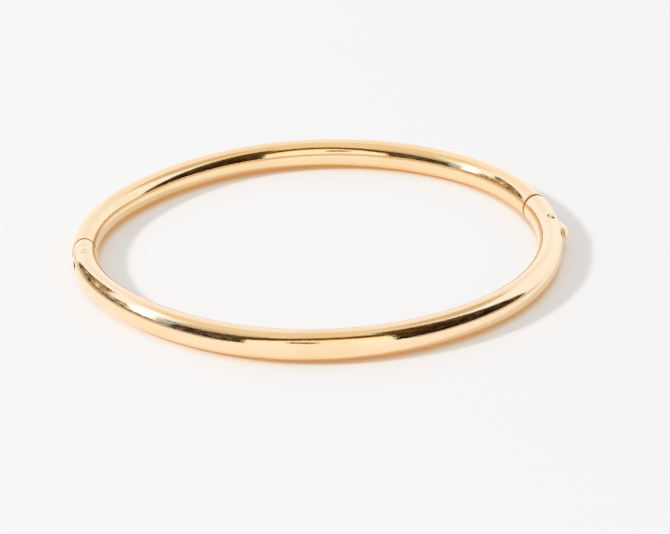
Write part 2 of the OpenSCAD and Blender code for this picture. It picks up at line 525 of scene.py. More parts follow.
@dataclass
class Tube:
    """A closed stretch of the oval tube.

    Args:
        path: the centre line.
        section: the section.
        start: the face that it starts on.
        end: the face that it ends on.
        edges: the radii to which its two ends' edges are rounded.
        pitch: the length of its faces along the tube.
    """

    path: OvalPath
    section: Section
    start: EndFace
    end: EndFace
    edges: tuple[float, float]
    pitch: float = 0.36

    def _row(self, along: np.ndarray, out: np.ndarray, up: np.ndarray) -> np.ndarray:
        """Makes a row of points across the tube.

        Args:
            along: the points' distances along the centre line.
            out: how far they lie outside it.
            up: how far they lie above it.

        Returns:
            The points.
        """
        point, _, normal = self.path.frame_at(along)
        plan = point + normal * out[:, None]
        return np.column_stack([plan, up + self.section.height / 2])

    def _rim(self, last: bool, wall: float = 0.0) -> list:
        """Rows round the edge of an end, from the surface to the end's face.

        Args:
            last: whether it is the end rather than the start.
            wall: where the inner edge lies, or 0 for the outer edge.

        Returns:
            The rows.
        """
        face, edge, inward = (self.end, self.edges[1], -1) if last else (self.start, self.edges[0], 1)
        rows = []
        for turn in np.radians(RIM_TURNS):
            side = edge * (1 - math.cos(turn))
            out, up = self.section.outline(wall - side if wall else side)
            along = face.meet(self.path, out) + inward * edge * (1 - math.sin(turn))
            rows.append(self._row(along, out, up))
        return rows

    def _cap(self, face: EndFace, inset: float, shift: float = 0.0) -> list:
        """Rows over a closed end, from its edge to near its middle.

        Args:
            face: the end.
            inset: how far the edge lies inside the section.
            shift: how far along the path the face is moved.

        Returns:
            The rows.
        """
        rows = []
        for scale in CAP_SCALES:
            out, up = self.section.outline(inset, scale)
            rows.append(self._row(face.meet(self.path, out) + shift, out, up))
        return rows

    def _skin(self, inset: float, ease: tuple, pitch: float) -> list:
        """Rows along the tube's wall.

        Args:
            inset: how far the wall lies inside the section.
            ease: how far the rows stay from the start and from the end.
            pitch: the distance between rows.

        Returns:
            The rows.
        """
        out, up = self.section.outline(inset)
        first = self.start.meet(self.path, out) + ease[0]
        last = self.end.meet(self.path, out) - ease[1]
        count = max(2, int(np.mean(last - first) / pitch))
        return [self._row(first + (last - first) * i / count, out, up) for i in range(1, count)]

    def solid(self, name: str) -> Draft:
        """Makes the stretch as a solid with both ends closed.

        Args:
            name: the solid's name.

        Returns:
            The solid.
        """
        rows = self._cap(self.start, self.edges[0])[::-1] + self._rim(False)[::-1]
        rows += self._skin(0.0, self.edges, self.pitch)
        rows += self._rim(True) + self._cap(self.end, self.edges[1])
        closed = len(CAP_SCALES) + len(RIM_TURNS) - 1
        return self._stitch(name, rows, (closed, closed))

    def hollow(self, name: str, wall: float, block: float) -> Draft:
        """Makes the stretch as a hollow tube that is open at its end.

        Args:
            name: the solid's name.
            wall: the tube's wall.
            block: how far from its start the tube is solid.

        Returns:
            The solid.
        """
        rows = self._cap(self.start, self.edges[0])[::-1] + self._rim(False)[::-1]
        rows += self._skin(0.0, self.edges, self.pitch)
        rows += self._rim(True)
        outside = len(rows)
        rows += self._rim(True, wall)[::-1]
        rows += self._skin(wall, (block, self.edges[1]), 5 * self.pitch)[::-1]
        rows += self._cap(self.start, wall, block)
        closed = len(CAP_SCALES) + len(RIM_TURNS) - 1
        return self._stitch(name, rows, (closed, len(rows) - outside + len(RIM_TURNS) - 1))

    def _stitch(self, name: str, rows: list, closed: tuple[int, int]) -> Draft:
        """Joins rows into a closed solid and closes its first and last row in the middle.

        Args:
            name: the solid's name.
            rows: the rows of points, each once round the tube.
            closed: how many bands between rows, from the first and from the last, aren't polished skin.

        Returns:
            The solid.
        """
        count = self.section.columns
        ring = [(i, (i + 1) % count) for i in range(count)]
        points = np.vstack([*rows, rows[0].mean(axis=0), rows[-1].mean(axis=0)])
        faces = []
        for r in range(len(rows) - 1):
            low, high = r * count, (r + 1) * count
            faces += [[low + i, high + i, high + j, low + j] for i, j in ring]
        skin = len(faces)
        first, last = len(rows) * count, len(rows) * count + 1
        tail = (len(rows) - 1) * count
        faces += [[first, i, j] for i, j in ring]
        faces += [[last, tail + j, tail + i] for i, j in ring]
        draft = Draft(name, points, faces, Face.POLISHED)
        # The end caps, the rounded rims and any inner wall take the groove finish, which is painted shade.
        polished = range(closed[0] * count, skin - closed[1] * count)
        for face in draft.thing.data.polygons:
            if face.index not in polished:
                face.material_index = Face.GROOVE.value
        return draft


class Graph:
    """Adds nodes to one shader tree and joins them."""

    def __init__(self, tree: bpy.types.NodeTree) -> None:
        """Keeps the tree."""
        self.tree = tree

    def add(self, kind: str, inputs: dict | None = None, **settings: object) -> bpy.types.Node:
        """Adds a node.

        Args:
            kind: the node's type, without ShaderNode where its name begins so.
            inputs: values or sockets for its inputs, by name or number.
            settings: its own properties.

        Returns:
            The node.
        """
        node = self.tree.nodes.new(kind if kind.startswith("Node") else "ShaderNode" + kind)
        for key, value in settings.items():
            setattr(node, key, value)
        for key, value in (inputs or {}).items():
            if isinstance(value, Socket):
                self.tree.links.new(value, node.inputs[key])
            else:
                node.inputs[key].default_value = value
        return node

    def math(self, operation: str, *values: Value) -> Socket:
        """Returns the result of a Math node."""
        return self.add("Math", dict(enumerate(values)), operation=operation).outputs[0]

    def step(self, value: Value, low: Value, high: Value) -> Socket:
        """Returns a value's soft step from 0 at low to 1 at high."""
        inputs = {"Value": value, "From Min": low, "From Max": high}
        return self.add("MapRange", inputs, interpolation_type="SMOOTHSTEP").outputs[0]

    def between(self, value: Value, ends: tuple[float, float, float, float]) -> Socket:
        """Returns 1 between the second and third of four ends, softly down to 0 at the first and last."""
        rise = self.step(value, ends[0], ends[1])
        return self.math("MULTIPLY", rise, self.step(value, ends[3], ends[2]))

    def azimuth(self, x: Value, y: Value) -> Socket:
        """Returns a direction's azimuth in degrees, 0 at the camera's side and 90 at the right."""
        return self.math("DEGREES", self.math("ARCTAN2", x, self.math("MULTIPLY", y, -1.0)))

    def blend(self, share: Value, one: Paint, other: Paint) -> Socket:
        """Blends two colours.

        Args:
            share: 0 for the first colour, 1 for the other.
            one: the first.
            other: the other.

        Returns:
            The blended colour.
        """
        node = self.add("Mix", {0: share}, data_type="RGBA")
        for socket, value in ((node.inputs[6], one), (node.inputs[7], other)):
            if isinstance(value, Socket):
                self.tree.links.new(value, socket)
            else:
                socket.default_value = (*value, 1.0)
        return node.outputs[2]


def make_group(name: str, inputs: dict, outputs: dict) -> tuple[bpy.types.NodeTree, Graph, dict, dict]:
    """Starts a shader node group.

    Args:
        name: the group's name.
        inputs: its inputs, as names with the default values, or None for a vector.
        outputs: its outputs, as names with socket types.

    Returns:
        The group's tree, its graph, its input sockets by name, and its output sockets by name.
    """
    tree = bpy.data.node_groups.new(name, "ShaderNodeTree")
    for key, value in inputs.items():
        kind = "NodeSocketVector" if value is None else "NodeSocketFloat"
        socket = tree.interface.new_socket(name=key, in_out="INPUT", socket_type=kind)
        if value is not None:
            socket.default_value = value
    for key, kind in outputs.items():
        tree.interface.new_socket(name=key, in_out="OUTPUT", socket_type=kind)
    graph = Graph(tree)
    source = graph.add("NodeGroupInput")
    target = graph.add("NodeGroupOutput")
    return tree, graph, {s.name: s for s in source.outputs}, {s.name: s for s in target.inputs}


class Effects:
    """The surface effects that the gold finishes share, each one node group."""

    def __init__(self) -> None:
        """Builds the groups."""
        self.ripple = self._noise("polish_ripple", 300.0, 1.0)
        self.grain = self._noise("polish_grain", 4200.0, 2.0)
        self.hairlines = self._hairlines()
        self.smudges = self._smudges()

    @staticmethod
    def _noise(name: str, scale: float, detail: float) -> bpy.types.NodeTree:
        """Makes the height of one kind of unevenness that polishing leaves.

        Args:
            name: the group's name.
            scale: how fine the unevenness is.
            detail: how many finer layers it has.

        Returns:
            The group.
        """
        inputs = {"Place": None, "Scale": scale}
        tree, g, given, wanted = make_group(name, inputs, {"Height": "NodeSocketFloat"})
        noise = g.add("TexNoise", {"Vector": given["Place"], "Scale": given["Scale"], "Detail": detail})
        tree.links.new(noise.outputs["Fac"], wanted["Height"])
        return tree

    @staticmethod
    def _hairlines() -> bpy.types.NodeTree:
        """Makes the short fine scratches of wear.

        Returns:
            The group, which gives them as a mask.
        """
        inputs = {"Place": None, "Scale": 900.0, "Amount": 0.5}
        tree, g, given, wanted = make_group("hairline_scratches", inputs, {"Mask": "NodeSocketFloat"})
        masks = []
        for turn in SCRATCH_TURNS:
            spun = g.add("VectorRotate", {"Vector": given["Place"], "Angle": turn})
            long = g.add("VectorMath", {0: spun.outputs[0], 1: SCRATCH_SHAPE}, operation="MULTIPLY")
            lines = g.add("TexNoise", {"Vector": long.outputs[0], "Scale": given["Scale"], "Detail": 3.0})
            masks.append(g.step(lines.outputs["Fac"], *SCRATCH_ENDS))
        both = g.math("MAXIMUM", *masks)
        tree.links.new(g.math("MULTIPLY", both, given["Amount"]), wanted["Mask"])
        return tree

    @staticmethod
    def _smudges() -> bpy.types.NodeTree:
        """Makes the soft patches that handling leaves.

        Returns:
            The group, which gives them as a mask.
        """
        inputs = {"Place": None, "Scale": 120.0}
        tree, g, given, wanted = make_group("handling_smudges", inputs, {"Mask": "NodeSocketFloat"})
        patch = g.add("TexNoise", {"Vector": given["Place"], "Scale": given["Scale"], "Detail": 4.0})
        tree.links.new(g.step(patch.outputs["Fac"], *SMUDGE_ENDS), wanted["Mask"])
        return tree


def tinted(colour: Colour, share: Colour) -> Colour:
    """Returns a colour multiplied by another."""
    return tuple(c * s for c, s in zip(colour, share))


@dataclass(frozen=True)
class FineLine:
    """A fine darker round line on the ear, about the hinge pin.

    Args:
        radius: its distance from the hinge pin, in millimetres.
        width: its width.
        inner_x: it shows only further out than this, seen along the bangle.
        front_y: it shows only behind this, seen across the bangle.
        strength: how dark it is.
        fade: half the distance over which it fades out at those two ends.
    """

    radius: float = 1.97
    width: float = 0.2
    inner_x: float = -30.9
    front_y: float = -5.4
    strength: float = 0.8
    fade: float = 0.3


@dataclass(frozen=True)
class GoldFinish:
    """A finish of yellow gold.

    Args:
        name: the material's name.
        colour: the metal's colour.
        rough: its roughness.
        ripple: how deep the polish's waviness is, in millimetres.
        grain: how deep its fine grain is, in millimetres.
        scratches: how strong the hairline scratches are.
        line: a fine darker line about the hinge pin, where the piece has one.
        smudge_rough: how much rougher the metal is where it was handled.
        scratch_rough: how much rougher it is in a scratch.
    """

    name: str
    colour: Colour
    rough: float
    ripple: float
    grain: float
    scratches: float
    line: FineLine | None = None
    smudge_rough: float = 0.02
    scratch_rough: float = 0.12

    def build(self, effects: Effects) -> bpy.types.Material:
        """Makes the material.

        Args:
            effects: the effects that the finishes share.

        Returns:
            The material.
        """
        material = bpy.data.materials.new(self.name)
        material.use_nodes = True
        g = Graph(material.node_tree)
        shader = next(n for n in material.node_tree.nodes if n.type == "BSDF_PRINCIPLED")
        place = g.add("TexCoord").outputs["Object"]

        ripple = g.add("Group", node_tree=effects.ripple)
        grain = g.add("Group", node_tree=effects.grain)
        hairlines = g.add("Group", node_tree=effects.hairlines)
        smudges = g.add("Group", node_tree=effects.smudges)
        for group in (ripple, grain, hairlines, smudges):
            g.tree.links.new(place, group.inputs["Place"])
        hairlines.inputs["Amount"].default_value = self.scratches
        scratch = hairlines.outputs["Mask"]
        smudge = smudges.outputs["Mask"]

        colour = g.blend(smudge, self.colour, tinted(self.colour, SMUDGED))
        share = self.grain / self.ripple
        height = g.math("MULTIPLY_ADD", grain.outputs["Height"], share, ripple.outputs["Height"])
        if self.line:
            mask = self._line_mask(g, place)
            colour = g.blend(mask, colour, tinted(self.colour, LINE_DARKENING))
        g.tree.links.new(colour, shader.inputs["Base Color"])
        rough = g.math("MULTIPLY_ADD", smudge, self.smudge_rough, self.rough)
        rough = g.math("MULTIPLY_ADD", scratch, self.scratch_rough, rough)
        g.tree.links.new(rough, shader.inputs["Roughness"])
        bump = g.add("Bump", {"Strength": 1.0, "Distance": self.ripple * MM, "Height": height})
        g.tree.links.new(bump.outputs[0], shader.inputs["Normal"])
        shader.inputs["Metallic"].default_value = 1.0
        return material

    def _line_mask(self, g: Graph, place: Socket) -> Socket:
        """Masks the fine line about the hinge pin.

        Args:
            g: the material's graph.
            place: the point of the surface.

        Returns:
            The line's strength there.
        """
        line = self.line
        pin = (*(Joint("bangle_hinge").at() * MM), 0.0)
        flat = g.add("VectorMath", {0: place, 1: (1.0, 1.0, 0.0)}, operation="MULTIPLY").outputs[0]
        apart = g.add("VectorMath", {0: flat, 1: pin}, operation="DISTANCE").outputs["Value"]
        off = g.math("ABSOLUTE", g.math("SUBTRACT", apart, line.radius * MM))
        near = g.step(off, line.width * MM / 2, 0.0)
        x, y, _ = g.add("SeparateXYZ", {0: flat}).outputs
        side = g.step(x, (line.inner_x + line.fade) * MM, line.inner_x * MM)
        back = g.step(y, (line.front_y - line.fade) * MM, (line.front_y + line.fade) * MM)
        shown = g.math("MULTIPLY", g.math("MULTIPLY", near, side), back)
        return g.math("MULTIPLY", shown, line.strength)


@dataclass
class Finishes:
    """The gold finishes of all pieces.

    Args:
        gold: the colour of the polished metal.
        back_gold_warm_reflection: the same gold made slightly warmer on the back half and the hinge pin, a
            painted warm reflection.
        made: the materials by name, once they are built.
    """

    gold: Colour = (1.0, 0.79, 0.53)
    back_gold_warm_reflection: Colour = (1.0, 0.775, 0.49)
    made: dict = field(default_factory=dict)

    def build(self) -> None:
        """Builds every finish."""
        effects = Effects()
        # The seam finish is the gold darkened to painted shade for the seams and recesses.
        dull, seam = tinted(self.gold, DULL), tinted(self.gold, SEAM_SHADE)
        mirror = {"rough": 0.03, "ripple": 0.015, "grain": 0.006, "scratches": 0.35}
        matt = {"ripple": 0.002, "grain": 0.002, "scratches": 0.8}
        for finish in (
            # The warmer gold of the back half and the hinge pin is a painted warm reflection.
            GoldFinish("mirror_gold", self.back_gold_warm_reflection, **mirror),
            GoldFinish("mirror_gold_front", self.gold, **mirror, line=FineLine()),
            GoldFinish("lever_gold", self.gold, rough=0.07, ripple=0.004, grain=0.002, scratches=0.5),
            GoldFinish("machined_gold", dull, rough=0.28, **matt),
            GoldFinish("hard_gold", dull, rough=0.2, **matt),
            GoldFinish("seam_shade_gold", seam, rough=0.45, **matt),
        ):
            self.made[finish.name] = finish.build(effects)


@dataclass
class Bench:
    """What every sub-assembly needs.

    Args:
        path: the tube's centre line.
        section: its section.
        finishes: the finishes, already built.
        pin: the hinge pin's place in plan.
        lever: the lever pin's place in plan.
        height: the tube's height.
        sharper_than: the least angle between faces that still shows as an edge, in degrees.
        skin_depth: how far inside the section a point may lie and still be on the tube's skin.
    """

    path: OvalPath
    section: Section
    finishes: Finishes
    pin: np.ndarray
    lever: np.ndarray
    height: float
    sharper_than: float = 32.0
    skin_depth: float = 0.002

    @classmethod
    def from_frame(cls, tube_width: float, finishes: Finishes) -> "Bench":
        """Works the sizes out from the frame.

        Args:
            tube_width: the tube's width in millimetres.
            finishes: the finishes, already built.

        Returns:
            The bench.
        """
        low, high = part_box("back_half")
        height = high.z / MM
        half_length = -low.x / MM - tube_width / 2
        half_width = high.y / MM - tube_width / 2
        path = OvalPath(half_length, half_width)
        pin, lever = Joint("bangle_hinge").at(), Joint("lever_pivot").at()
        return cls(path, Section(tube_width, height), finishes, pin, lever, height)

    def finish(
        self, draft: Draft, name: str, body: Body, nodes: tuple, slot: str, looks: tuple
    ) -> bpy.types.Object:
        """Turns a draft into a piece of the scene.

        Args:
            draft: the solid, in millimetres.
            name: the piece's name.
            body: the body that it rides on.
            nodes: the nodes of the frame that it stands for.
            slot: the record's material slot; not used.
            looks: the names of its polished and machined finishes, and of the painted shade on its groove
                faces.

        Returns:
            The piece.
        """
        piece = draft.thing
        piece.name = name
        mesh = piece.data
        mesh.name = name
        for face, look in zip(Face, looks):
            mesh.materials[face.value] = self.finishes.made[look]
        mesh.polygons.foreach_set("use_smooth", [True] * len(mesh.polygons))
        mesh.set_sharp_from_angle(angle=math.radians(self.sharper_than))
        self._true_normals(mesh)
        mesh.transform(Matrix.Scale(MM, 4))
        mesh.update()
        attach(piece, body.value)
        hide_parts(*nodes)
        LOG.info("%s: %d faces on body %s", name, len(mesh.polygons), body.value)
        return piece

    def _true_normals(self, mesh: bpy.types.Mesh) -> None:
        """Gives the tube's outer skin the exact normals of the oval tube, so that it reflects smoothly.

        Args:
            mesh: the piece's mesh, in millimetres.
        """
        points = np.empty(len(mesh.vertices) * 3)
        mesh.vertices.foreach_get("co", points)
        points = points.reshape(-1, 3)
        along, out = self.path.locate(points[:, :2])
        up = points[:, 2] - self.height / 2
        on_skin = np.abs(self.section.depth(out, up)) < self.skin_depth
        kind = np.empty(len(mesh.polygons), int)
        mesh.polygons.foreach_get("material_index", kind)
        sizes = np.empty(len(mesh.polygons), int)
        mesh.polygons.foreach_get("loop_total", sizes)
        corner = np.empty(len(mesh.loops), int)
        mesh.loops.foreach_get("vertex_index", corner)
        owner = np.repeat(np.arange(len(sizes)), sizes)
        all_on = np.ones(len(sizes), bool)
        np.logical_and.at(all_on, owner, on_skin[corner])
        smooth = all_on & (kind == Face.POLISHED.value)
        normals = np.empty(len(mesh.loops) * 3)
        mesh.corner_normals.foreach_get("vector", normals)
        normals = normals.reshape(-1, 3)
        _, _, outward = self.path.frame_at(along)
        across, upward = self.section.normal(out, up)
        exact = np.column_stack([outward * across[:, None], upward])
        chosen = smooth[owner]
        normals[chosen] = exact[corner[chosen]]
        mesh.normals_split_custom_set(normals.tolist())


@dataclass
class Hinge:
    """The hinge: the round seam, the slot between the ears, the knuckle and the pin.

    Args:
        bench: the shared sizes and finishes.
        pin_deg: the pin's place past the oval's end.
        seam_r: the round seam's radius about the pin.
        seam_gap: the gap between the halves.
        block: how far the ears' block reaches past the pin.
        slot: the slot's height.
        slot_end: how far the slot reaches past the pin.
        slot_in: how far the slot reaches towards the wrist.
        knuckle_h: the knuckle's height.
        knuckle_r: its radius.
        knuckle_out: how far its strap reaches outwards.
        pin_r: the pin's radius.
        edge: the radius to which the seam's edges are rounded.
        pin_dome: how far the middle of the pin's upper end stands above the tube's surface.
        pin_edge: the width and depth of the bevel round the pin's ends.
        strap_root: how far the knuckle's strap reaches past the seam into the back half.
    """

    bench: Bench
    pin_deg: float = 12.6
    seam_r: float = 3.6
    seam_gap: float = 0.1
    block: float = 2.3
    slot: float = 1.54
    slot_end: float = 1.3
    slot_in: float = 1.25
    knuckle_h: float = 1.4
    knuckle_r: float = 1.22
    knuckle_out: float = 1.48
    pin_r: float = 0.5
    edge: float = 0.1
    pin_dome: float = 0.03
    pin_edge: float = 0.07
    strap_root: float = 0.6

    @property
    def reach(self) -> float:
        """How far the tube's surface at the pin lies above the tube's middle.

        Returns:
            The height, in millimetres.
        """
        point, _, normal = self.bench.path.frame_at(np.array([self.bench.path.at_hinge(self.pin_deg)]))
        out = float(((self.bench.pin - point) * normal).sum())
        return self.bench.height / 2 * math.sqrt(1 - (2 * out / self.bench.section.width) ** 2)

    @property
    def turn(self) -> float:
        """The direction of the ears, in degrees."""
        return self.pin_deg - math.degrees(math.asin(self.seam_r / 2 / self.bench.path.hinge_r))

    def face(self, radius: float) -> EndFace:
        """Returns the round seam's face of the given radius."""
        at = self.bench.path.at_hinge(self.pin_deg)
        return EndFace(End.ROUND, self.bench.pin, radius, (at - 2 * self.seam_r, at))

    def slab(self, name: str, outline: list, height: float) -> Draft:
        """Returns an outline about the pin, raised about the tube's middle."""
        middle, place = self.bench.height / 2, placed(outline, self.bench.pin, self.turn)
        return prism(name, place, middle - height / 2, middle + height / 2, Face.POLISHED)

    def slot_tool(self) -> Draft:
        """Makes the solid that cuts the slot between the ears.

        Returns:
            The tool.
        """
        far = 3 * self.seam_r
        outline = [(-far, -self.slot_end), (self.slot_in, -self.slot_end), (self.slot_in, far), (-far, far)]
        return self.slab("slot", outline, self.slot)

    def knuckle(self) -> Draft:
        """Makes the knuckle with its strap to the back half.

        Returns:
            The solid.
        """
        root = self.seam_r + self.strap_root
        outline = arc((0, 0), self.knuckle_r, 200, 360, 32)
        outline += [(self.knuckle_r, root), (-self.knuckle_out, root)]
        outline += arc((0, 0), self.knuckle_out, 150, 185, 12)
        return self.slab("knuckle", outline, self.knuckle_h)

    def pin_piece(self) -> bpy.types.Object:
        """Makes the hinge pin, its ends slightly domed and the lower one no lower than the tube.

        Returns:
            The piece.
        """
        middle, reach = self.bench.height / 2, self.reach
        bulge = (self.pin_r**2) / (4 * self.pin_dome)
        rings = 8
        heights = []
        for i in range(rings + 1):
            r = (self.pin_r - self.pin_edge) * i / rings
            heights.append((r, reach + self.pin_dome - r * r / (2 * bulge)))
        heights.append((self.pin_r, heights[-1][1] - self.pin_edge))
        profile = [(r, middle + z) for r, z in heights]
        profile += [(r, middle + self.pin_dome - z) for r, z in heights[::-1]]
        draft = lathe("hinge_pin_domed", self.bench.pin, profile)
        looks = ("mirror_gold", "mirror_gold", "seam_shade_gold")
        return self.bench.finish(draft, "hinge_pin_domed", Body.FRONT, ("hinge_pin",), "gold_pin", looks)


@dataclass
class Clasp:
    """The clasp: the flat seam, the tongue, the thumb lever and the lever's pin.

    Args:
        bench: the shared sizes and finishes.
        seam_deg: the seam's place past the oval's end.
        seam_gap: the gap between the halves.
        tongue_l: the tongue's length beyond the seam.
        tongue_root: its length behind the seam.
        tongue_w: its thickness.
        tongue_h: its height.
        tongue_out: how far its outer face lies outside the seam's centre.
        tongue_seat: the gap round its root.
        tongue_round: the radius to which its edges are rounded.
        notch_l: the length of the notch in the tongue that the lever's nose lies in.
        notch_d: the notch's depth.
        notch_from_tip: how far the notch lies from the tongue's tip.
        tip_cut: the size of the slope at the tongue's tip.
        lever_deg: the lever pin's place past the oval's end.
        lever_h: the lever's height.
        lever_gap: the gap above and below it in the window.
        lever_bore: the gap round the pin in the lever.
        lever_round: the radius to which the tab's edges are rounded.
        pin_r: the lever pin's radius.
        head_r: the radius of the pin's head.
        head_drop: how far the middle of the head's ball lies below the tube's top.
        seat_drop: the depth of the head's seat.
        seat_gap: the gap round the head, and the width of the bevel round the seat.
        hub_r: the lever's radius about its pin.
        window: the ends of the lever's window, measured along the tube from the pin.
        arm_in: how far the lever's arm reaches towards the wrist.
        nose_r: the nose's radius.
        nose_y: how far along the tube the nose lies from the pin.
        nose_gap: the gap between the nose and the tongue.
        neck: the ends of the stem that holds the tab, measured along the tube from the pin.
        tab_out: how far the tab stands out of the tube.
        tab_start: where the tab rises from the tube, measured in the same way.
        tab_end: where its free end is.
        tab_peak: where it stands furthest out.
        tab_standoff: the gap between the tab's free part and the tube.
        tab_tip: the thickness of the free end before it rounds over.
        tab_ease: how far short of its peak the long rise stops.
        tab_root: how far the tab's root lies inside the tube's surface.
        tab_lift: how far outside the tube's surface the long rise starts.
        edge: the radius to which the seam's edges are rounded.
        search: how far along the tube from its place the seam's face is looked for.
    """

    bench: Bench
    seam_deg: float = 18.3
    seam_gap: float = 0.1
    tongue_l: float = 4.8
    tongue_root: float = 1.8
    tongue_w: float = 0.8
    tongue_h: float = 1.6
    tongue_out: float = 0.07
    tongue_seat: float = 0.02
    tongue_round: float = 0.05
    notch_l: float = 0.9
    notch_d: float = 0.2
    notch_from_tip: float = 1.2
    tip_cut: float = 0.35
    lever_deg: float = 3.5
    lever_h: float = 1.35
    lever_gap: float = 0.07
    lever_bore: float = 0.04
    lever_round: float = 0.12
    pin_r: float = 0.35
    head_r: float = 0.55
    head_drop: float = 0.35
    seat_drop: float = 0.27
    seat_gap: float = 0.03
    hub_r: float = 0.72
    window: tuple[float, float] = (-1.45, 1.05)
    arm_in: float = 0.45
    nose_r: float = 0.25
    nose_y: float = 4.05
    nose_gap: float = 0.08
    neck: tuple[float, float] = (-1.1, 0.75)
    tab_out: float = 0.78
    tab_start: float = 1.0
    tab_end: float = -2.35
    tab_peak: float = -2.0
    tab_standoff: float = 0.3
    tab_tip: float = 0.12
    tab_ease: float = 0.35
    tab_root: float = 0.35
    tab_lift: float = 0.03
    edge: float = 0.2
    search: float = 3.0

    @property
    def seam_at(self) -> np.ndarray:
        """The seam's centre in plan.

        Returns:
            Its place, in millimetres.
        """
        turn = math.radians(self.seam_deg)
        path = self.bench.path
        return np.array([path.clasp_x + path.clasp_r * math.cos(turn), path.clasp_r * math.sin(turn)])

    @property
    def swing(self) -> tuple[float, float]:
        """The seam's distance and direction from the hinge pin, the direction in degrees."""
        apart = self.seam_at - self.bench.pin
        return float(np.hypot(*apart)), math.degrees(math.atan2(apart[1], apart[0]))

    @property
    def lever_reach(self) -> float:
        """How far the lever's pin lies from the middle of the clasp end's arc."""
        return float(np.hypot(*(self.bench.lever - (self.bench.path.clasp_x, 0))))

    @property
    def surface_x(self) -> float:
        """How far the tube's outer surface lies outside the lever's pin."""
        return self.bench.section.width / 2 - (self.lever_reach - self.bench.path.clasp_r)

    def face(self, side: float, lap: int = 0) -> EndFace:
        """Returns the flat seam's face.

        Args:
            side: 1 for the back half's face, or -1 for the front half's.
            lap: how many times round the oval the path has gone.

        Returns:
            The face.
        """
        at = self.bench.path.at_clasp(self.seam_deg) + lap * self.bench.path.length
        turn = math.radians(self.swing[1] + 90)
        search = (at - self.search, at + self.search)
        return EndFace(End.FLAT, self.seam_at, side * self.seam_gap / 2, search, turn)

    def tongue_draft(self, grow: float = 0.0) -> Draft:
        """Makes the tongue, or the solid that cuts the slot for it.

        Args:
            grow: how much larger the slot is on each side, or 0 for the tongue.

        Returns:
            The solid.
        """
        reach, turn = self.swing
        outer = reach + self.tongue_out
        tip, root = -math.degrees(self.tongue_l / reach), math.degrees(self.tongue_root / reach)
        notch = -math.degrees((self.tongue_l - self.notch_from_tip) / reach)
        notch_end = notch + math.degrees(self.notch_l / reach)
        slope = math.degrees(self.tip_cut / reach)
        outline = arc((0, 0), outer - self.tongue_w - grow, root, tip, 16)
        if grow:
            outline += arc((0, 0), outer + grow, tip, root, 16)
        else:
            outline += arc((0, 0), outer - self.tip_cut, tip, tip, 1)[:1]
            outline += arc((0, 0), outer, tip + slope, notch, 6)
            outline += arc((0, 0), outer - self.notch_d, notch, notch_end, 3)
            outline += arc((0, 0), outer, notch_end, root, 12)
        middle, half = self.bench.height / 2, self.tongue_h / 2 + grow
        return prism("tongue", placed(outline, self.bench.pin, turn), middle - half, middle + half)

    def tongue_piece(self) -> bpy.types.Object:
        """Makes the tongue.

        Returns:
            The piece.
        """
        draft = self.tongue_draft().round_edges(self.tongue_round)
        nodes, looks = ("clasp_tongue",), ("hard_gold", "hard_gold", "seam_shade_gold")
        return self.bench.finish(draft, "clasp_tongue_curved", Body.BACK, nodes, "gold_tongue", looks)

    def slab(self, name: str, outline: list, height: float) -> Draft:
        """Raises an outline about the tube's middle.

        Args:
            name: the solid's name.
            outline: the outline's points, about the lever's pin.
            height: the solid's height.

        Returns:
            The solid.
        """
        middle = self.bench.height / 2
        low, high = middle - height / 2, middle + height / 2
        return prism(name, placed(outline, self.bench.lever, self.lever_deg), low, high)

    def window_tool(self) -> Draft:
        """Makes the solid that cuts the lever's window.

        Returns:
            The tool.
        """
        low, high = self.window
        far = self.bench.section.width
        outline = [(0, low), (far, low), (far, high), (0, high)]
        return self.slab("window", outline, self.lever_h + 2 * self.lever_gap)

    def nose_x(self) -> float:
        """Finds how far out the nose lies, a small gap off the tongue.

        Returns:
            The distance outwards from the lever's pin.
        """
        c, s = math.cos(math.radians(self.lever_deg)), math.sin(math.radians(self.lever_deg))
        apart = self.bench.pin - self.bench.lever
        x, y = apart[0] * c + apart[1] * s, apart[1] * c - apart[0] * s
        reach = self.swing[0] + self.tongue_out + self.nose_gap + self.nose_r
        return x + math.sqrt(reach**2 - (self.nose_y - y) ** 2)

    def tab_outline(self) -> list:
        """Draws the thumb tab: a long rise from the tube, and a blunt free end.

        Returns:
            The outline's points, about the lever's pin.
        """
        peak = self.surface_x + self.tab_out
        rise = peak - self.surface_x - self.tab_lift
        run = self.tab_start - self.tab_peak
        radius = (rise**2 + run**2) / (2 * rise)
        centre = (peak - radius, self.tab_peak)
        top = math.degrees(math.asin(run / radius))
        ease = math.degrees(math.asin(self.tab_ease / radius))
        outline = arc(centre, radius, ease, top, 20)
        root, stem = self.surface_x - self.tab_root, self.neck[0]
        outline += [(root, self.tab_start), (root, stem)]
        outline += [(self._wall_x(stem), stem), (self._wall_x(self.tab_end), self.tab_end)]
        tip, shoulder = self._wall_x(self.tab_end) + self.tab_tip, self.tab_peak + self.tab_ease
        for turn in np.radians(np.linspace(80, 0, 9)):
            out = tip + (peak - tip) * math.cos(turn)
            outline.append((out, shoulder + (self.tab_end - shoulder) * math.sin(turn)))
        return outline

    def _wall_x(self, y: float) -> float:
        """Returns how far out the tab's inner face lies beside the tube's wall."""
        reach = self.bench.path.clasp_r + self.bench.section.width / 2 + self.tab_standoff
        return math.sqrt(reach**2 - y**2) - self.lever_reach

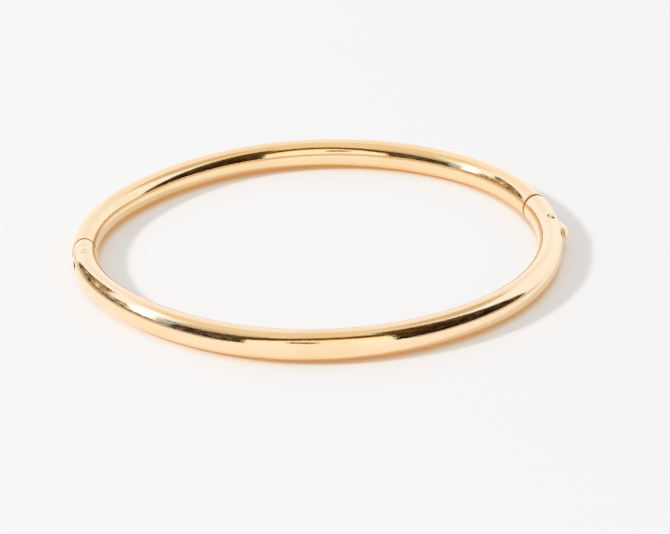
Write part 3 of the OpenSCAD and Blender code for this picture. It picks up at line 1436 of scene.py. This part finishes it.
    def lever_piece(self) -> bpy.types.Object:
        """Makes the thumb lever.

        Returns:
            The piece.
        """
        nose, (low, high) = self.nose_x(), self.neck
        draft = self.slab("lever", self.tab_outline(), self.lever_h).round_edges(self.lever_round, steps=4)
        arm = [
            (-self.arm_in, 0),
            (self.hub_r, 0),
            (nose + self.nose_r, self.nose_y),
            (nose - self.nose_r, self.nose_y),
            (-self.arm_in, self.hub_r),
        ]
        joined = {
            "hub": arc((0, 0), self.hub_r, 0, 354, 59),
            "arm": arm,
            "nose": arc((nose, self.nose_y), self.nose_r, 0, 350, 35),
            "neck": [(0, low), (self.surface_x, low), (self.surface_x, high), (0, high)],
        }
        for name, outline in joined.items():
            draft.carve(self.slab(name, outline, self.lever_h), Cut.JOIN)
        draft.carve(rod("bore", self.bench.lever, self.pin_r + self.lever_bore), Cut.AWAY)
        nodes, looks = ("thumb_lever",), ("lever_gold", "lever_gold", "seam_shade_gold")
        return self.bench.finish(draft, "thumb_lever_tab", Body.LEVER, nodes, "gold_lever", looks)

    def stretch(self, reach: float = 3.0, search: float = 2.0, edge: float = 0.02) -> Draft:
        """Makes a short closed stretch of the tube about the lever's pin.

        Args:
            reach: how far it goes along the tube, each way from the pin.
            search: how far from there each end's face is looked for.
            edge: the radius to which its ends are rounded.

        Returns:
            The solid.
        """
        path = self.bench.path
        at = path.at_clasp(self.lever_deg)
        ends = []
        for place in (at - reach, at + reach):
            point, tangent, _ = path.frame_at(np.array([place]))
            turn = math.atan2(tangent[0, 1], tangent[0, 0])
            ends.append(EndFace(End.FLAT, point[0], 0.0, (place - search, place + search), turn))
        return Tube(path, self.bench.section, *ends, edges=(edge, edge), pitch=0.2).solid("stretch")

    def seat(self) -> Draft:
        """Makes the tool that sinks a flat seat for the lever pin's head; the seat's faces take painted
        shade.

        Returns:
            The tool.
        """
        low, top, high = self.bench.height - self.seat_drop, self.bench.height, 2 * self.bench.height
        wide = self.head_r + self.seat_gap
        profile = [(0, high), (wide + high - top, high), (wide, top - self.seat_gap), (wide, low), (0, low)]
        return lathe("seat", self.bench.lever, profile, Face.GROOVE)

    def pin_piece(self) -> bpy.types.Object:
        """Makes the lever's pin with its small domed head.

        Returns:
            The piece.
        """
        centre, height, lap = self.bench.lever, self.bench.height, 0.1
        top = height - self.head_drop
        shank = rod("shank", centre, self.pin_r, BELOW / 2, height / 2)
        shank.carve(self.stretch(), Cut.KEEP)
        draft = ball("head", centre, top, self.head_r)
        draft.carve(rod("under", centre, 2 * self.head_r, 0, height - self.seat_drop), Cut.AWAY)
        draft.carve(rod("upper", centre, self.pin_r, height / 2 - lap, top), Cut.JOIN)
        draft.carve(shank, Cut.JOIN)
        looks = ("lever_gold", "lever_gold", "seam_shade_gold")
        return self.bench.finish(draft, "lever_pin_head", Body.FRONT, ("lever_pin",), "gold_pin", looks)


@dataclass
class FrontHalf:
    """The half with the ears and the clasp's socket.

    Args:
        bench: the shared sizes and finishes.
        hinge: the hinge.
        clasp: the clasp.
        wall: the tube's wall.
        seat_gap: the gap round a pin.
    """

    bench: Bench
    hinge: Hinge
    clasp: Clasp
    wall: float = 0.4
    seat_gap: float = 0.02

    def build(self) -> bpy.types.Object:
        """Makes the half.

        Returns:
            The piece.
        """
        start = self.hinge.face(self.hinge.seam_r - self.hinge.seam_gap / 2)
        edges = (self.hinge.edge, self.clasp.edge)
        tube = Tube(self.bench.path, self.bench.section, start, self.clasp.face(-1, 1), edges=edges)
        draft = tube.hollow("front_tube", self.wall, self.hinge.seam_r + self.hinge.block)
        draft.carve(self.hinge.slot_tool(), Cut.AWAY)
        top = self.bench.height / 2 + self.hinge.reach
        bore = flared_bore(self.bench.pin, self.hinge.pin_r + self.seat_gap, top, self.hinge.pin_edge)
        draft.carve(bore, Cut.AWAY)
        draft.carve(self.clasp.window_tool(), Cut.AWAY)
        draft.carve(rod("bore", self.bench.lever, self.clasp.pin_r + self.seat_gap), Cut.AWAY)
        draft.carve(self.clasp.seat(), Cut.AWAY)
        looks = ("mirror_gold_front", "machined_gold", "seam_shade_gold")
        return self.bench.finish(draft, "front_half_tube", Body.FRONT, ("front_half",), "gold", looks)


@dataclass
class BackHalf:
    """The half with the knuckle and the tongue.

    Args:
        bench: the shared sizes and finishes.
        hinge: the hinge.
        clasp: the clasp.
        running_gap: the gap round the hinge pin.
    """

    bench: Bench
    hinge: Hinge
    clasp: Clasp
    running_gap: float = 0.04

    def build(self) -> bpy.types.Object:
        """Makes the half.

        Returns:
            The piece.
        """
        end = self.hinge.face(self.hinge.seam_r + self.hinge.seam_gap / 2)
        edges = (self.clasp.edge, self.hinge.edge)
        tube = Tube(self.bench.path, self.bench.section, self.clasp.face(1), end, edges=edges)
        draft = tube.solid("back_tube")
        draft.carve(self.hinge.knuckle(), Cut.JOIN)
        draft.carve(rod("bore", self.bench.pin, self.hinge.pin_r + self.running_gap), Cut.AWAY)
        draft.carve(self.clasp.tongue_draft(self.clasp.tongue_seat), Cut.AWAY)
        looks = ("mirror_gold", "machined_gold", "seam_shade_gold")
        return self.bench.finish(draft, "back_half_tube", Body.BACK, ("back_half",), "gold", looks)


@dataclass(frozen=True)
class Card:
    """A bright or dark patch of the room that the metal mirrors.

    Args:
        name: what it is.
        left: its left edge's azimuth in degrees, 0 at the camera's side and 90 at the right.
        right: its right edge's azimuth.
        bottom: its lower edge's height in degrees above the table.
        top: its upper edge's greatest height.
        glow: its colour and brightness.
        soft: the softness of its upper and lower edges in degrees.
        side: the softness of its left and right edges.
        crown: the azimuth at which the upper edge is highest.
        span: how far from there the upper edge comes down to the table's height.
        slant: how far its sides move to the right for each degree upwards.
        flecks: the colour of the flecks in it, where it has any.
    """

    name: str
    left: float
    right: float
    bottom: float
    top: float
    glow: Colour
    soft: float = 3.0
    side: float = 3.0
    crown: float = 0.0
    span: float = 10000.0
    slant: float = 0.0
    flecks: Colour | None = None


CARD_EDGES = ("Left", "Right", "Bottom", "Top", "Crown", "Span", "Slant", "Soft", "Side")
CARDS = (
    Card("walls", -200, 200, -20, 50, (1.0, 1.05, 1.18), 16),
    Card("back_wall_right", 135, 200, 30, 74, (0.96, 0.95, 1.0), 14, 14),
    Card("back_wall_left", -200, -135, 30, 74, (0.96, 0.95, 1.0), 14, 14),
    Card("right_upper_wall", 78, 138, 50, 76, (0.68, 0.55, 0.39), 12, 12),
    Card("left_veil", -68, -28, -20, 54, (0.7, 0.61, 0.47), 14, 8),
    Card("left_grey", -67, -28, -20, 45, (0.55, 0.48, 0.37), 8, 4, -25, 80),
    Card("arch_grey", -40, 27, 0, 57, (0.3, 0.27, 0.19), 5, 4, 5, 75),
    Card("right_glint", 66, 86, 30, 46, (0.95, 1.12, 1.4), 5, 6),
    Card("wedge_rim", -126, -92, -20, 38, (0.14, 0.08, 0.03), 3, 3, -111, 19),
    Card("wedge", -121, -95, -20, 32, (0.13, 0.07, 0.025), 3, 3, -110, 18, flecks=(0.8, 0.62, 0.38)),
    Card("wedge_light", -106, -93, 7, 22, (0.38, 0.24, 0.12), 7, 4, flecks=(0.95, 0.85, 0.62)),
    Card("low_left", -96, -76, -20, 20, (0.16, 0.1, 0.05), 6, 4, flecks=(1.0, 0.94, 0.74)),
    Card("window_haze", -69, -59, -20, 32, (0.2, 0.24, 0.28), 5, 4, flecks=(0.7, 0.9, 1.0)),
    Card("window", -77, -65, 5, 46, (1.5, 1.6, 1.9), 5, 4, slant=-0.35),
    Card("far_table", -118, -62, -20, 7, (0.1, 0.06, 0.025), 5, 4, flecks=(0.62, 0.46, 0.27)),
    Card("left_shade", -62, -31, -20, 38, (0.02, 0.014, 0.008), 6, 4, -25, 65, flecks=(0.24, 0.17, 0.1)),
    Card("arch_brown", -35, 27, 0, 51, (0.11, 0.045, 0.018), 3, 3, 5, 75),
    Card("arch_orange", -31, 27, 0, 44, (0.45, 0.2, 0.04), 3, 2, 3, 50),
    Card("card_yellow", -31, 27, -20, 39, (1.05, 0.9, 0.36), 4, 2, 3, 48),
    Card("card", -30, 26.5, -20, 32, (1.0, 1.03, 1.0), 5, 2, 3, 50),
    Card("lens_rim", -14, -3, 24, 30, (0.6, 0.6, 0.75), 2, 2),
    Card("lens", -14, -3, 17.5, 24, (0.3, 0.12, 0.04), 2, 2),
    Card("right_veil", 27, 90, -20, 63, (0.5, 0.45, 0.34), 5, 1.5, 35, 57),
    Card("right_shade", 27, 90, -20, 58, (0.03, 0.018, 0.008), 5, 1.5, 35, 55, flecks=(0.19, 0.11, 0.045)),
    Card("right_low", 27, 90, -20, 30, (0.006, 0.003, 0.001), 24, 1.5, 35, 55, flecks=(0.12, 0.065, 0.022)),
)


@dataclass
class MirroredRoom:
    """The room round the table, seen only in the metal.

    Args:
        radius: its distance, in millimetres.
        ceiling: the colour and brightness overhead.
        cards: the patches, the later over the earlier.
        stir: how unevenly the patches' upper edges run, in degrees.
        stir_scale: how fine that unevenness is.
        fleck_shape: how a fleck's width compares with its height.
        fleck_scale: how fine the flecks are.
        fleck_ends: the noise's values at which a fleck starts and is full.
    """

    radius: float = 250.0
    ceiling: Colour = (0.86, 0.74, 0.57)
    cards: tuple = CARDS
    stir: float = 4.0
    stir_scale: float = 22.0
    fleck_shape: tuple[float, float, float] = (1.0, 1.0, 0.35)
    fleck_scale: float = 21.0
    fleck_ends: tuple[float, float] = (0.45, 0.6)

    def build(self) -> None:
        """Builds the dome and its glow."""
        bpy.ops.mesh.primitive_uv_sphere_add(segments=96, ring_count=48, radius=self.radius * MM)
        dome = bpy.context.object
        dome.name = "mirrored_room"
        dome.data.materials.append(self._glow())
        dome.visible_camera = dome.visible_diffuse = dome.visible_shadow = False
        dome.visible_transmission = dome.visible_volume_scatter = False

    def _glow(self) -> bpy.types.Material:
        """Makes the dome's material.

        Returns:
            The material.
        """
        material = bpy.data.materials.new("room_glow")
        material.use_nodes = True
        tree = material.node_tree
        tree.nodes.clear()
        g = Graph(tree)
        group = self._card_group()
        place = g.add("TexCoord").outputs["Object"]
        unit = g.add("VectorMath", {0: place}, operation="NORMALIZE").outputs[0]
        x, y, z = g.add("SeparateXYZ", {0: unit}).outputs
        stir = g.add("TexNoise", {"Vector": unit, "Scale": self.stir_scale, "Detail": 3.0}).outputs["Fac"]
        azimuth = g.azimuth(x, y)
        height = g.math("DEGREES", g.math("ARCSINE", z))
        height = g.math("ADD", height, g.math("MULTIPLY_ADD", stir, 2 * self.stir, -self.stir))
        tall = g.add("VectorMath", {0: unit, 1: self.fleck_shape}, operation="MULTIPLY").outputs[0]
        inputs = {"Vector": tall, "Scale": self.fleck_scale, "Detail": 4.0, "Roughness": 0.6}
        fleck = g.step(g.add("TexNoise", inputs).outputs["Fac"], *self.fleck_ends)
        colour = g.blend(0.0, self.ceiling, self.ceiling)
        for card in self.cards:
            edges = {name: getattr(card, name.lower()) for name in CARD_EDGES}
            mask = g.add("Group", {"Azimuth": azimuth, "Height": height, **edges}, node_tree=group)
            glow = g.blend(fleck, card.glow, card.flecks) if card.flecks else card.glow
            colour = g.blend(mask.outputs[0], colour, glow)
        shine = g.add("Emission", {"Color": colour, "Strength": 1.0})
        g.add("OutputMaterial", {"Surface": shine.outputs[0]})
        return material

    @staticmethod
    def _card_group() -> bpy.types.NodeTree:
        """Makes the group that masks one soft-edged card.

        Returns:
            The group.
        """
        inputs = dict.fromkeys(("Azimuth", "Height", *CARD_EDGES), 0.0)
        tree, g, given, wanted = make_group("soft_card", inputs, {"Mask": "NodeSocketFloat"})
        height = given["Height"]
        azimuth = g.math("SUBTRACT", given["Azimuth"], g.math("MULTIPLY", given["Slant"], height))
        aside = g.math("DIVIDE", g.math("SUBTRACT", azimuth, given["Crown"]), given["Span"])
        bow = g.math("POWER", aside, 2.0)
        top = g.math("MULTIPLY", given["Top"], g.math("SUBTRACT", 1.0, bow))
        mask = None
        for reach, soft in (
            (g.math("SUBTRACT", azimuth, given["Left"]), given["Side"]),
            (g.math("SUBTRACT", given["Right"], azimuth), given["Side"]),
            (g.math("SUBTRACT", height, given["Bottom"]), given["Soft"]),
            (g.math("SUBTRACT", top, height), given["Soft"]),
        ):
            half = g.math("MULTIPLY", soft, 0.5)
            edge = g.step(reach, g.math("MULTIPLY", half, -1.0), half)
            mask = edge if mask is None else g.math("MULTIPLY", mask, edge)
        tree.links.new(mask, wanted["Mask"])
        return tree


@dataclass
class Studio:
    """The table, the lights and the camera.

    Args:
        aim: the point that the camera looks at, in millimetres.
        distance: the camera's distance from it.
        elevation: the camera's height above the table, in degrees.
        roll: the camera's tilt to the side, in degrees.
        focal: the focal length in picture pixels.
        table_size: the table's width, in metres.
        table_drop: how far it lies below the bangle, in millimetres.
        table_colour: the colour in which it scatters light.
        mottle: how much darker its darker patches are.
        table_glow: the strength of its own glow, painted light that lifts its shadows.
        painted_mirror_lift: how much more it glows where the metal mirrors it, a painted brighter
            reflection.
        contact: how near the bangle its glow takes painted warm shade, in millimetres.
        clear_tint: the glow's colour away from the bangle.
        near_shade_tint: its colour near the bangle on the shadow's side, painted warm shade.
        lit_shade_tint: the same on the side towards the window, a fainter painted warm shade.
        contact_shade_tint: its colour where the bangle touches the table, painted contact shade.
        close: how open to the room the table is where that colour starts, and where it is full.
        lit_share: what that colour's share gains, or loses below 0, on the side towards the window.
        lit_ends: where the side towards the window starts and is full, across the table.
        far_mirror_shade: the glow's colour where the metal mirrors the table from some way off, painted
            shade seen only in the metal.
        inside_mirror_shade: the same painted shade for the table inside the bangle.
        far_from: the mirrored distance at which that colour starts, in millimetres.
        far_full: the distance at which it is full.
        inside_reach: how much further off the table inside the bangle counts.
        left_dark: the azimuths between which that painted shade shows on the left, with their soft ends.
        right_dark: the same on the right.
        inside: the scale at which the bangle's inner outline is a circle of radius 1.
        rim: where on that scale the outside ends and the inside is full.
        sky_colour: the colour of the even light.
        sky: its strength.
        key_power: the window's power.
        key_azimuth: its azimuth, 0 at the camera's side and 90 at the right.
        key_height: its height above the table, in degrees.
        key_reach: its distance, in metres.
        key_width: how wide it looks from the bangle, in degrees.
    """

    aim: tuple[float, float, float] = (2.294, -3.486, 0.0)
    distance: float = 298.99
    elevation: float = 29.808
    roll: float = -1.692
    focal: float = 2205.4
    table_size: float = 12.0
    table_drop: float = 0.01
    table_colour: Colour = (0.5, 0.496, 0.498)
    mottle: float = 0.985
    table_glow: float = 0.49
    painted_mirror_lift: float = 0.07
    contact: float = 7.0
    clear_tint: Colour = (1.0, 0.993, 0.997)
    near_shade_tint: Colour = (0.9, 0.73, 0.5)
    lit_shade_tint: Colour = (0.98, 0.93, 0.85)
    contact_shade_tint: Colour = (0.72, 0.36, 0.11)
    close: tuple[float, float] = (0.62, 0.25)
    lit_share: float = -0.6
    lit_ends: tuple[float, float] = (2.0, 24.0)
    far_mirror_shade: Colour = (0.16, 0.05, 0.005)
    inside_mirror_shade: Colour = (0.5, 0.26, 0.07)
    far_from: float = 11.0
    far_full: float = 27.0
    inside_reach: float = 0.5
    left_dark: tuple[float, float, float, float] = (-112.0, -104.0, -34.0, -31.0)
    right_dark: tuple[float, float, float, float] = (28.0, 31.0, 76.0, 84.0)
    inside: tuple[float, float, float] = (33.0, 38.0, 0.0)
    rim: tuple[float, float] = (1.05, 0.98)
    sky_colour: Colour = (1.0, 0.995, 0.99)
    sky: float = 0.48
    key_power: float = 16.8
    key_azimuth: float = -80.0
    key_height: float = 38.5
    key_reach: float = 1.6
    key_width: float = 7.0

    def build(self) -> None:
        """Builds the table, the lights and the camera."""
        self._table()
        self._lights()
        self._camera()
        bpy.context.scene.view_settings.view_transform = "Standard"

    def _table(self) -> None:
        """Builds the pale table, whose own glow is painted light, with painted shade near the bangle and in
        the metal's reflection of it.
        """
        bpy.ops.mesh.primitive_plane_add(size=self.table_size, location=(0, 0, -self.table_drop * MM))
        table = bpy.context.object
        table.name = "table"
        material = bpy.data.materials.new("pale_table")
        material.use_nodes = True
        g = Graph(material.node_tree)
        shader = next(n for n in material.node_tree.nodes if n.type == "BSDF_PRINCIPLED")
        place = g.add("TexCoord").outputs["Object"]
        patches = g.add("TexNoise", {"Vector": place, "Scale": 14.0, "Detail": 2.0}).outputs["Fac"]
        darker = tuple(c * self.mottle for c in self.table_colour)
        g.tree.links.new(g.blend(patches, self.table_colour, darker), shader.inputs["Base Color"])
        shader.inputs["Roughness"].default_value = 0.9
        shader.inputs["Specular IOR Level"].default_value = 0.0
        # Near the bangle the glow takes painted warm shade, fainter on the side towards the window, and
        # darker painted contact shade where the bangle touches.
        clear = g.add("AmbientOcclusion", {"Distance": self.contact * MM}, samples=24).outputs["AO"]
        within = self._within(g, place)
        lit = self._lit(g, place, within)
        colour = g.blend(clear, g.blend(lit, self.near_shade_tint, self.lit_shade_tint), self.clear_tint)
        share = g.math("MULTIPLY_ADD", lit, self.lit_share, 1.0)
        close = g.math("MULTIPLY", g.step(clear, *self.close), share)
        colour = g.blend(close, colour, self.contact_shade_tint)
        # Where the metal mirrors the table from some way off, the glow takes painted shade.
        far = g.blend(within, self.far_mirror_shade, self.inside_mirror_shade)
        colour = g.blend(self._mirror_shade_share(g, place, within), colour, far)
        g.tree.links.new(colour, shader.inputs["Emission Color"])
        # The table's own glow is painted light that lifts its shadows; where the metal mirrors the table it
        # glows more, a painted brighter reflection.
        mirrored = g.add("LightPath").outputs["Is Glossy Ray"]
        glow = g.math("MULTIPLY_ADD", mirrored, self.painted_mirror_lift, self.table_glow)
        g.tree.links.new(glow, shader.inputs["Emission Strength"])
        table.data.materials.append(material)

    def _within(self, g: Graph, place: Socket) -> Socket:
        """Returns 1 on the table inside the bangle and 0 outside."""
        size = g.add("VectorMath", {0: place, 1: self.inside}, operation="MULTIPLY").outputs[0]
        return g.step(g.add("VectorMath", {0: size}, operation="LENGTH").outputs["Value"], *self.rim)

    def _lit(self, g: Graph, place: Socket, within: Socket) -> Socket:
        """Tells the tube's side towards the window from its shadow's side.

        Args:
            g: the table's graph.
            place: the point of the table.
            within: 1 inside the bangle and 0 outside.

        Returns:
            1 on the lit side and 0 in the shadow.
        """
        x = g.add("SeparateXYZ", {0: place}).outputs[0]
        side = g.math("MULTIPLY", x, g.math("MULTIPLY_ADD", within, 2.0, -1.0))
        return g.step(side, self.lit_ends[0] * MM, self.lit_ends[1] * MM)

    def _mirror_shade_share(self, g: Graph, place: Socket, within: Socket) -> Socket:
        """Finds the share of painted shade in the table's glow where the metal mirrors it from some way
        off.

        Args:
            g: the table's graph.
            place: the point of the table.
            within: 1 inside the bangle and 0 outside.

        Returns:
            The share of the painted shade.
        """
        path = g.add("LightPath")
        x, y, _ = g.add("SeparateXYZ", {0: place}).outputs
        azimuth = g.azimuth(x, y)
        dark = g.math("ADD", g.between(azimuth, self.left_dark), g.between(azimuth, self.right_dark))
        free = g.math("MAXIMUM", dark, within)
        stretch = g.math("MULTIPLY_ADD", within, self.inside_reach, 1.0)
        reach = g.math("MULTIPLY", path.outputs["Ray Length"], stretch)
        long = g.step(reach, self.far_from * MM, self.far_full * MM)
        return g.math("MULTIPLY", g.math("MULTIPLY", long, free), path.outputs["Is Glossy Ray"])

    def _lights(self) -> None:
        """Sets the even light of the room and the window that casts the soft shadow."""
        world = bpy.data.worlds.new("room_light")
        world.use_nodes = True
        background = world.node_tree.nodes["Background"]
        background.inputs["Color"].default_value = (*self.sky_colour, 1.0)
        background.inputs["Strength"].default_value = self.sky
        bpy.context.scene.world = world
        lamp = bpy.data.lights.new("window_light", "AREA")
        lamp.shape = "DISK"
        lamp.size = 2 * self.key_reach * math.tan(math.radians(self.key_width / 2))
        lamp.energy = self.key_power
        light = bpy.data.objects.new("window_light", lamp)
        turn, rise = math.radians(self.key_azimuth), math.radians(self.key_height)
        way = Vector((math.sin(turn) * math.cos(rise), -math.cos(turn) * math.cos(rise), math.sin(rise)))
        light.location = way * self.key_reach
        light.rotation_mode = "QUATERNION"
        light.rotation_quaternion = way.to_track_quat("Z", "Y")
        light.visible_glossy = False
        light.visible_camera = False
        bpy.context.scene.collection.objects.link(light)

    def _camera(self) -> None:
        """Sets the camera at the photograph's angle."""
        rise = math.radians(self.elevation)
        back = Vector((0.0, -math.cos(rise), math.sin(rise)))
        data = bpy.data.cameras.new("camera")
        data.sensor_width = SENSOR_WIDTH
        data.lens = self.focal / PICTURE_WIDTH * SENSOR_WIDTH
        data.clip_start, data.clip_end = 0.01, 20.0
        camera = bpy.data.objects.new("camera", data)
        camera.location = (Vector(self.aim) + back * self.distance) * MM
        camera.rotation_mode = "QUATERNION"
        level = back.to_track_quat("Z", "Y")
        camera.rotation_quaternion = level @ Quaternion((0.0, 0.0, 1.0), math.radians(self.roll))
        bpy.context.scene.collection.objects.link(camera)
        bpy.context.scene.camera = camera


def main() -> None:
    """Builds every sub-assembly in order."""
    logging.basicConfig(level=logging.INFO, format="%(name)s: %(message)s")
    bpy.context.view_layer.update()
    finishes = Finishes()
    finishes.build()
    bench = Bench.from_frame(TUBE_WIDTH, finishes)
    hinge = Hinge(bench)
    clasp = Clasp(bench)
    FrontHalf(bench, hinge, clasp).build()
    BackHalf(bench, hinge, clasp).build()
    hinge.pin_piece()
    clasp.tongue_piece()
    clasp.lever_piece()
    clasp.pin_piece()
    MirroredRoom().build()
    Studio().build()


if __name__ == "__main__":
    main()
